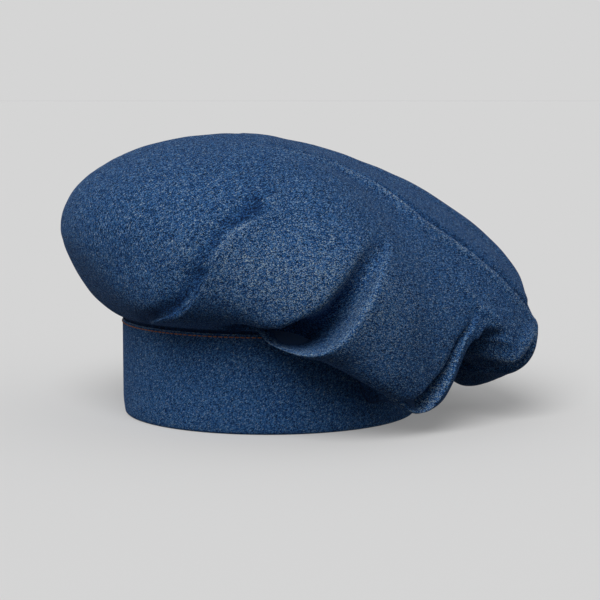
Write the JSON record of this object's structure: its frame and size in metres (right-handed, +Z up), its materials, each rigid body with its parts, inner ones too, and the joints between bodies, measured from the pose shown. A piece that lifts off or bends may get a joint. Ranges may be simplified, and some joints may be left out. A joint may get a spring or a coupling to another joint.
{
  "type": "chef hat",
  "caption": "Soft denim chef's hat: a wide pleated crown, fallen to one side, over a plain upright band that goes around the head.",
  "frame": {"origin": "middle of the head opening, in the plane of the band's lower edge on which the hat stands", "axes": "+Z up out of the crown, +X to the side that the crown has fallen to, -Y to the front"},
  "size_m": [0.3202, 0.3002, 0.188],
  "materials": {
    "band_denim": "dark blue denim twill, matt",
    "crown_denim": "blue denim twill, matt, worn pale on the folds"
  },
  "bodies": {
    "root": {"band": "band_denim", "crown": "crown_denim"}
  },
  "joints": []
}
